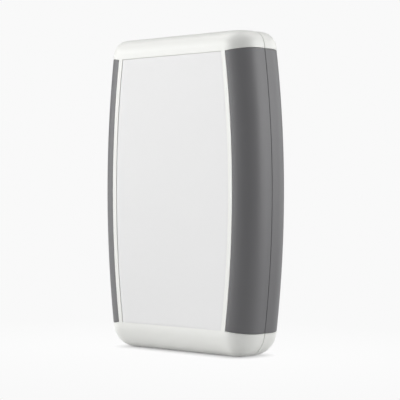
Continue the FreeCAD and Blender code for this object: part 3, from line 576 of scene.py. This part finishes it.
def panel_skins():
    """The outer and inner skin of the panel, as grids of points in metres.

    At a height h from the middle, the side of the panel is at sqrt(R^2 - h^2) from the centre of the
    bow, where R is the radius of the housing's side less the width of the rim between the two.
    """
    rise = graded(2 * PANEL_HALF_HEIGHT, PANEL_EDGE, PANEL_EDGE_STEPS, coarse=100)
    height = rise - PANEL_HALF_HEIGHT
    half_width = HALF_WIDTH - SIDE_RADIUS + np.sqrt((SIDE_RADIUS - PANEL_REACH) ** 2 - height ** 2)
    across = graded(2 * half_width.max(), PANEL_EDGE, PANEL_EDGE_STEPS, coarse=60)
    x = (2 * across / across[-1] - 1)[:, None] * half_width[None, :]
    z = WIDEST_HEIGHT - PANEL_DROP + np.broadcast_to(height, x.shape)
    outer = HALF_DEPTH - PANEL_SETBACK - rounded_border(across, rise, PANEL_EDGE)
    return [MM * np.stack([x, -depth, z], axis=-1) for depth in (outer, np.full_like(x, PANEL_FLOOR))]


# %% Make the panel
panel = closed_slab("front_panel_film", *panel_skins())
panel.data.materials.append(label_grey)
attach(panel, "root")
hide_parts("label_panel")
print(panel.name, len(panel.data.polygons), "faces")

# %% [markdown]
# Metals
#
# Plated sheet, drawn cans and screws differ less in colour than in how their skin scatters light.
# Rolled sheet has long scratches one way, so its noise is stretched by a Mapping node. Drawn and
# plated parts have round clouds. One recipe, given a stretch and two near colours, makes them all.

# %% Plated metal
def plated(name, pale, deep, rough, stretch, scale=900.0, depth=0.000006):
    """Metal whose noise is stretched along X, Y or Z. A stretch of 1 each way gives round clouds."""
    recipe = Recipe(name)
    stretched = recipe.add("ShaderNodeMapping", {}, {"Vector": recipe.place(), "Scale": stretch})
    streak = recipe.noise(scale, detail=3.0, roughness=0.55, place=stretched)
    tarnish = recipe.noise(scale=160.0, detail=3.0)
    recipe.bump(streak, depth, strength=0.35)
    return recipe.finish(Base_Color=recipe.blend(tarnish, deep, pale), Metallic=1.0,
                         Roughness=rough + 0.16 * streak)


ROUND = (1.0, 1.0, 1.0)
ALONG_X = (0.1, 1.0, 1.0)
ALONG_Y = (1.0, 0.1, 1.0)
FINE_ALONG_X = (0.08, 1.0, 1.0)
FINE_ALONG_Z = (1.0, 1.0, 0.05)
COARSE_ALONG_Z = (1.0, 1.0, 0.25)
screw_steel = plated("screw_steel", colour(0.66, 0.66, 0.65), colour(0.50, 0.51, 0.53), 0.24, ROUND)
socket_steel = plated("socket_steel", colour(0.50, 0.495, 0.48), colour(0.41, 0.41, 0.41), 0.26,
                      FINE_ALONG_Z)
contact_gold = plated("contact_gold", colour(0.90, 0.68, 0.33), colour(0.78, 0.56, 0.24), 0.16, ROUND)
can_tin = plated("can_tin", colour(0.76, 0.76, 0.76), colour(0.62, 0.63, 0.64), 0.22, COARSE_ALONG_Z)
crystal_can = plated("crystal_can", colour(0.74, 0.73, 0.70), colour(0.60, 0.60, 0.60), 0.18, ALONG_X)
capacitor_can = plated("capacitor_can", colour(0.80, 0.80, 0.82), colour(0.68, 0.69, 0.71), 0.18,
                       ALONG_Y)
antenna_tin = plated("antenna_tin", colour(0.76, 0.75, 0.72), colour(0.64, 0.63, 0.60), 0.22,
                     FINE_ALONG_X)
print("metals made: 7")

# %% [markdown]
# Screws
#
# A thread is a ridge that winds round a core. It could be a Screw modifier on a profile, but a grid of
# points says more plainly what a thread is: one side of the grid is the turn round the axis, the other
# the way along it, and the ridge stands wherever turns less pitches come out whole.
# The head is a dome whose cross recess is worked out on the same grid: a point sinks where it is near
# one of the two axes and not too far from the middle. Heads show in the bores at the back.

# %% Proportions of a screw
# Those of the head are shares of its diameter. The ridge's slope is how fast it falls off with the
# distance from its crest in pitches. Near the seat the ridge runs out over a share of a pitch, and
# the tip narrows to a share of the core within so many core diameters.
HEAD_HEIGHT = 0.40
HEAD_FLANK = 0.26
HEAD_BEVEL = 0.06
SEAT_RADIUS = 0.46
RECESS_DEPTH = 0.20
ARM_HALF_WIDTH = 0.085
ARM_SIDE = 0.025
ARM_REACH = 0.28
ARM_END = 0.05
RIDGE_SLOPE = 3.2
RUN_OUT = 0.6
TIP_LENGTH = 1.6
TIP_SHARE = 0.25
COLUMNS = 72
ROWS_A_PITCH = 12
DOME_ROWS = 34


# %% The skin of one screw
def shank_rows(core, length, pitch, ridge, turns):
    """Radius and height up the shank, in rows from the tip to the seat.

    The radius is core / 2 + ridge * peak. The peak is 1 on the crest, and falls to 0 within a third
    of a pitch. Near the tip all of it shrinks like a blunt cone, and near the seat the ridge runs out.
    """
    height = np.linspace(-length, 0.0, int(length / pitch * ROWS_A_PITCH))[:, None]
    phase = np.mod(turns - height / pitch + 0.5, 1.0) - 0.5
    peak = np.clip(1.0 - RIDGE_SLOPE * np.abs(phase), 0.0, 1.0)
    peak = peak * np.clip(-height / (RUN_OUT * pitch), 0.0, 1.0)
    blunt = np.clip((height + length) / (TIP_LENGTH * core), TIP_SHARE, 1.0)
    radius = blunt * (core / 2 + ridge * peak)
    return radius, np.broadcast_to(height, radius.shape)


def head_rows(head, turns):
    """Radius and height over the head, in rows from its underside to its middle.

    A short bevel and a flank lead to a quarter of an ellipse. An arm of the cross is two ramps
    multiplied, one by the distance across the arm and one by the distance along it.
    """
    share = np.linspace(1.0, 0.0, DOME_ROWS)[:-1]
    flank = [[SEAT_RADIUS * head, 0.0], [0.5 * head, HEAD_BEVEL * head]]
    rise = HEAD_FLANK + (HEAD_HEIGHT - HEAD_FLANK) * np.sqrt(1 - share ** 2)
    profile = np.concatenate([flank, head * np.stack([0.5 * share, rise], axis=-1)])
    radius = np.broadcast_to(profile[:, :1], (len(profile), COLUMNS))
    aside = np.abs(radius * np.cos(2 * np.pi * turns))
    ahead = np.abs(radius * np.sin(2 * np.pi * turns))
    near, far = np.minimum(aside, ahead) / head, np.maximum(aside, ahead) / head
    across = np.clip((ARM_HALF_WIDTH - near) / ARM_SIDE, 0, 1)
    arm = across * np.clip((ARM_REACH - far) / ARM_END, 0, 1)
    return radius, profile[:, 1:] - RECESS_DEPTH * head * arm


# %% Close the skin and repeat it at each place
def screw_mesh(places, seat, towards, head, core, length, pitch, ridge):
    """Points and faces of equal screws along Y.

    A fan closes each skin at its tip, and another one in its recess.
    """
    turns = np.arange(COLUMNS)[None, :] / COLUMNS
    rows = [shank_rows(core, length, pitch, ridge, turns), head_rows(head, turns)]
    radius, height = (np.concatenate(pair) for pair in zip(*rows))
    skin = np.stack([radius * np.cos(2 * np.pi * turns), towards * height,
                     radius * np.sin(2 * np.pi * turns)], axis=-1)
    middles = np.zeros((2, 3))
    middles[:, 1] = -towards * length, towards * head * (HEAD_HEIGHT - RECESS_DEPTH)
    one = np.concatenate([skin.reshape(-1, 3), middles])
    tip, recess = len(one) - 2, len(one) - 1
    ring = np.arange(tip).reshape(-1, COLUMNS)
    ring = np.concatenate([ring, ring[:, :1]], axis=1)
    fans = np.concatenate([
        np.stack([np.full(COLUMNS, tip), ring[0, 1:], ring[0, :-1]], axis=-1),
        np.stack([np.full(COLUMNS, recess), ring[-1, :-1], ring[-1, 1:]], axis=-1)])
    quads = grid_quads(ring)[:, ::-1]
    shifts = len(one) * np.arange(len(places))
    points = MM * np.concatenate([one + np.array([x, seat, z]) for x, z in places])
    return points, [np.concatenate([group + shift for shift in shifts]) for group in (quads, fans)]


# %% Make the screws of the housing and of the board
# A head points towards +Y or -Y. Its diameter, the core's, the pitch and the ridge are in millimetres.
for node, towards, head, core, pitch, ridge in (
    ("case_screws", 1, 5.8, 2.5, 1.3, 0.32),
    ("board_screws", -1, 3.8, 1.7, 0.8, 0.20),
):
    low, high = np.array(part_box(node)) / MM
    top, tip = (high[1], low[1]) if towards > 0 else (low[1], high[1])
    seat = top - towards * HEAD_HEIGHT * head
    places = [(x, z) for x in (low[0] + head / 2, high[0] - head / 2)
              for z in (low[2] + head / 2, high[2] - head / 2)]
    mesh = screw_mesh(places, seat, towards, head, core, abs(seat - tip), pitch, ridge)
    piece = surface("threaded_" + node, *mesh, crease=35)
    piece.data.materials.append(screw_steel)
    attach(piece, "root")
    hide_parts(node)
    print(piece.name, len(piece.data.polygons), "faces, seat at", round(seat, 2))

# %% [markdown]
# Plastics and ceramics of the board
#
# Black packages are epoxy filled with glass powder, which gives a fine sparkle in the gloss.
# Ceramic blocks are matte and a little blotched from the kiln. Both are the moulded recipe again,
# with a coarser grain and other colours.

# %% Small dark and fired parts
insulator_black = moulded("insulator_black", colour(0.034, 0.034, 0.036), colour(0.024, 0.024, 0.026),
                          gloss=0.38, grain=3200.0, depth=0.000014)
package_black = moulded("package_black", colour(0.032, 0.032, 0.034), colour(0.020, 0.020, 0.022),
                        gloss=0.46, grain=9000.0, depth=0.000010)
ceramic_tan = moulded("ceramic_tan", colour(0.50, 0.37, 0.23), colour(0.40, 0.29, 0.17),
                      gloss=0.40, grain=6000.0, depth=0.000008)
resistor_black = moulded("resistor_black", colour(0.036, 0.036, 0.040), colour(0.020, 0.020, 0.022),
                         gloss=0.30, grain=7000.0, depth=0.000006)
ferrite_grey = moulded("ferrite_grey", colour(0.105, 0.105, 0.115), colour(0.075, 0.075, 0.085),
                       gloss=0.55, grain=5000.0, depth=0.000018)
print("plastics and ceramics made: 5")

# %% [markdown]
# Circuit board
#
# A board is glass cloth under a coat of green mask. Copper runs stand a thirtieth of a millimetre
# proud under that coat and look a shade lighter. Two sets of thin parallel bands, cut up by a coarse
# noise so that each run starts and stops, look like runs without copying any real board.

# %% Masked laminate
# There are 770 runs a metre, each three tenths of its lane wide. The noise that chooses the patches
# has levels about 0.5: runs lie level above the first limit and upright below the second.
RUNS_A_METRE = 770.0
RUN_SHARE = 0.3
LEVEL_ABOVE = 0.54
UPRIGHT_BELOW = 0.44


def masked_board(name, mask, copper_under_mask):
    """Solder mask over copper runs: bands along X and along Z, chosen in patches by a coarse noise."""
    recipe = Recipe(name)
    split = recipe.add("ShaderNodeSeparateXYZ", {}, {"Vector": recipe.place()})
    across = Wire(recipe, split.socket.node.outputs["X"])
    upwards = Wire(recipe, split.socket.node.outputs["Z"])

    def bands(along):
        """1 on a run and 0 between two runs, one run in each 1.3 mm."""
        return recipe.maths("LESS_THAN", recipe.maths("FRACT", along * RUNS_A_METRE), RUN_SHARE)

    patch = recipe.noise(scale=95.0, detail=0.0)
    level_patch = recipe.maths("GREATER_THAN", patch, LEVEL_ABOVE)
    upright_patch = recipe.maths("LESS_THAN", patch, UPRIGHT_BELOW)
    runs = recipe.clamped(bands(upwards) * level_patch + bands(across) * upright_patch)
    weave = recipe.noise(scale=2600.0, detail=1.0)
    recipe.bump(runs + 0.15 * weave, distance=0.00003, strength=0.6)
    return recipe.finish(Base_Color=recipe.blend(runs, mask, copper_under_mask),
                         Roughness=0.26 + 0.1 * weave)


board_laminate = masked_board("board_laminate", colour(0.020, 0.125, 0.050), colour(0.045, 0.215, 0.085))
module_laminate = masked_board("module_laminate", colour(0.012, 0.032, 0.090), colour(0.028, 0.070, 0.160))
print("boards made: 2")

# %% [markdown]
# Dressing the CAD nodes
#
# Rigid parts whose CAD shape is right stay as they are and only take a finish. The table says which
# finish each node has, in the same words as the part's record.

# %% Give each CAD node its material
finishes = {
    "front_shell": shell_white, "rear_shell": shell_white, "label_panel": label_grey,
    "grip_front_left": grip_grey, "grip_front_right": grip_grey,
    "grip_rear_left": grip_grey, "grip_rear_right": grip_grey,
    "case_screws": screw_steel, "board_screws": screw_steel, "circuit_board": board_laminate,
    "usb_socket_shell": socket_steel, "usb_socket_insulator": insulator_black,
    "usb_contacts": contact_gold, "programming_pins": contact_gold,
    "radio_module_board": module_laminate, "radio_shield_can": can_tin, "antenna": antenna_tin,
    "controller_chip": package_black, "memory_chip": package_black, "voltage_regulator": package_black,
    "crystal": crystal_can, "electrolytic_capacitors": capacitor_can, "ceramic_capacitors": ceramic_tan,
    "resistors": resistor_black, "power_inductor": ferrite_grey,
}
for node, finish in finishes.items():
    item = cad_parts[node]
    item.data.materials.clear()
    item.data.materials.append(finish)
print("nodes dressed:", len(finishes), "of", len(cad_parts))
